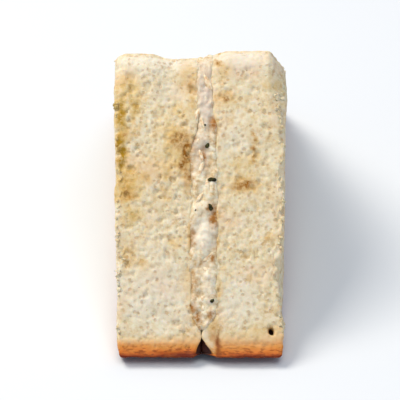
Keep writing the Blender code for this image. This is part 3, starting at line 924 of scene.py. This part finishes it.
def mayonnaise_spread():
    """Minced chicken bound with mayonnaise: an oily emulsion, so pale, moist and softly glossy, with
    pinkish grey meat and browner bits in it."""
    material, tree, shader = new_material("mayonnaise_spread")
    place = object_place(tree)
    lump, pale, pink, toasted = read_attributes(tree, "lump", "pale", "pink", "toasted")

    # Mince in grains of 1.2 mm, with browner painted shade in the hollows between the lumps
    mince = noise_texture(tree, place, 820.0, 3.0, 0.7)
    colour = ramp(tree, mince, (0.3, "#b08a58"), (0.42, "#d3bd94"), (0.55, "#e2d7bb"), (0.7, "#ece5d4"))
    colour = blend_colours(tree, mapped(tree, lump, 0.05, 0.5, 0.5, 0.0), colour, "#bd9a67")

    # Pinkish grey and pale meat, then the brown bits, broken up by the mince
    for patch, weight, tone in ((pink, 0.85, "#c9bbae"), (pale, 0.75, "#e2dccd")):
        share = reckon(tree, "MULTIPLY", patch, weight, use_clamp=True)
        colour = blend_colours(tree, share, colour, tone)
    mottled = mapped(tree, mince, 0.38, 0.6, 1.15, 0.6)
    share = reckon(tree, "MULTIPLY", toasted, mottled, use_clamp=True)
    colour = blend_colours(tree, share, colour, "#9a6416")
    tree.links.new(colour, shader.inputs["Base Color"])

    add_bump(tree, shader, mince, 0.0003)
    shader.inputs["Roughness"].default_value = 0.5
    shader.inputs["IOR"].default_value = 1.46
    shader.inputs["Subsurface Weight"].default_value = 0.35
    shader.inputs["Subsurface Radius"].default_value = (1.0, 0.6, 0.4)
    shader.inputs["Subsurface Scale"].default_value = 0.0009
    return material


def cooked_chicken():
    """Poached chicken breast pulled into shreds: moist, softly glossy meat, mottled cream and pale
    brown in grains of 0.7 mm."""
    material, tree, shader = new_material("cooked_chicken")
    place = object_place(tree)
    grains = noise_texture(tree, place, 1500.0, 2.0)
    colour = ramp(tree, grains, (0.32, "#caa57a"), (0.5, "#e2cdaa"), (0.68, "#efe3cd"))
    tree.links.new(colour, shader.inputs["Base Color"])
    add_bump(tree, shader, grains, 0.0002)
    shader.inputs["Roughness"].default_value = 0.5
    shader.inputs["Subsurface Weight"].default_value = 0.3
    shader.inputs["Subsurface Radius"].default_value = (1.0, 0.55, 0.4)
    shader.inputs["Subsurface Scale"].default_value = 0.0008
    return material


def chopped_parsley():
    """Parsley leaf chopped and wetted by the spread: thin, dark olive green, nearly black in folds of
    0.6 mm."""
    material, tree, shader = new_material("chopped_parsley")
    place = object_place(tree)
    folds = noise_texture(tree, place, 1800.0, 2.0)
    tree.links.new(ramp(tree, folds, (0.38, "#1e1d0e"), (0.62, "#45431f")), shader.inputs["Base Color"])
    shader.inputs["Roughness"].default_value = 0.8
    shader.inputs["Specular IOR Level"].default_value = 0.2
    return material


def pale_table():
    """A matt painted board, off-white."""
    material, _, shader = new_material("matt_painted_board")
    shader.inputs["Base Color"].default_value = hex_to_linear("#dde3ea")
    shader.inputs["Roughness"].default_value = 0.9
    return material


def add_floor():
    bpy.ops.mesh.primitive_plane_add(size=6.0)
    floor = bpy.context.active_object
    floor.name = "floor"
    floor.data.materials.append(pale_table())


def add_softbox(name, place, size, watts, colour):
    """A square light aimed at the sandwich."""
    light = bpy.data.lights.new(name, "AREA")
    light.size = size
    light.energy = watts
    light.color = hex_to_linear(colour)[:3]
    obj = bpy.data.objects.new(name, light)
    obj.location = place
    obj.rotation_euler = (Vector((0, 0, 0.02)) - Vector(place)).to_track_quat("-Z", "Y").to_euler()
    bpy.context.scene.collection.objects.link(obj)


def add_studio():
    """Soft light from all round, a large softbox behind on the left and another high in front."""
    world = bpy.data.worlds.new("studio")
    world.use_nodes = True
    sky = world.node_tree.nodes["Background"]
    sky.inputs["Color"].default_value = hex_to_linear("#e4eeff")
    sky.inputs["Strength"].default_value = 0.46
    bpy.context.scene.world = world
    add_softbox("key", (-0.42, 0.16, 0.7), 0.4, 5.9, "#fff4e4")
    add_softbox("overhead", (0.1, -0.38, 0.9), 0.5, 3.4, "#fffaf2")
    bpy.context.scene.view_settings.view_transform = "Standard"


def add_camera():
    """One metre away, 36 degrees above the horizon and nearly straight in front, on a long lens."""
    azimuth, elevation, distance = math.radians(0.3), math.radians(36), 1.0
    centre = Vector((0, -0.0105, 0.0165))
    back = Vector((
        math.sin(azimuth) * math.cos(elevation),
        -math.cos(azimuth) * math.cos(elevation),
        math.sin(elevation),
    ))
    data = bpy.data.cameras.new("camera")
    data.sensor_width = 36
    data.lens = 440
    camera = bpy.data.objects.new("camera", data)
    camera.location = centre + back * distance
    camera.rotation_euler = (-back).to_track_quat("-Z", "Y").to_euler()
    bpy.context.scene.collection.objects.link(camera)
    bpy.context.scene.camera = camera


def main():
    draw = np.random.default_rng(7)
    bread, filling = baked_white_bread(), mayonnaise_spread()
    left_patches = (LEFT_TOASTED, LEFT_YELLOWED_AND_SHADED, LEFT_CALM_AND_HIGHLIT)
    right_patches = (RIGHT_TOASTED, RIGHT_YELLOWED, RIGHT_CALM_AND_HIGHLIT)
    left, *left_edge = make_slice(
        "bread_left", -1, left_outside, left_inside, LEFT_SEED, LEFT_OPENNESS, left_patches,
        LEFT_CRISPNESS, bread,
    )
    right, *right_edge = make_slice(
        "bread_right", 1, right_inside, right_outside, RIGHT_SEED, RIGHT_OPENNESS, right_patches,
        RIGHT_CRISPNESS, bread, hole_depth,
    )
    spread = make_spread("spread", filling)
    crumbs = make_edge_crumbs(draw, (left_edge, right_edge), bread)
    for piece, slot, node in (
        (left, "white_bread", "bread_slice_left"),
        (right, "white_bread", "bread_slice_right"),
        (crumbs, "white_bread", None),
        (spread, "chicken_spread", "chicken_spread"),
        (make_shreds(draw, cooked_chicken()), "chicken_spread", None),
        (make_herbs(draw, chopped_parsley()), "chicken_spread", None),
    ):
        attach(piece, ROOT)
        if node:
            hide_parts(node)
    add_floor()
    add_studio()
    add_camera()


main()
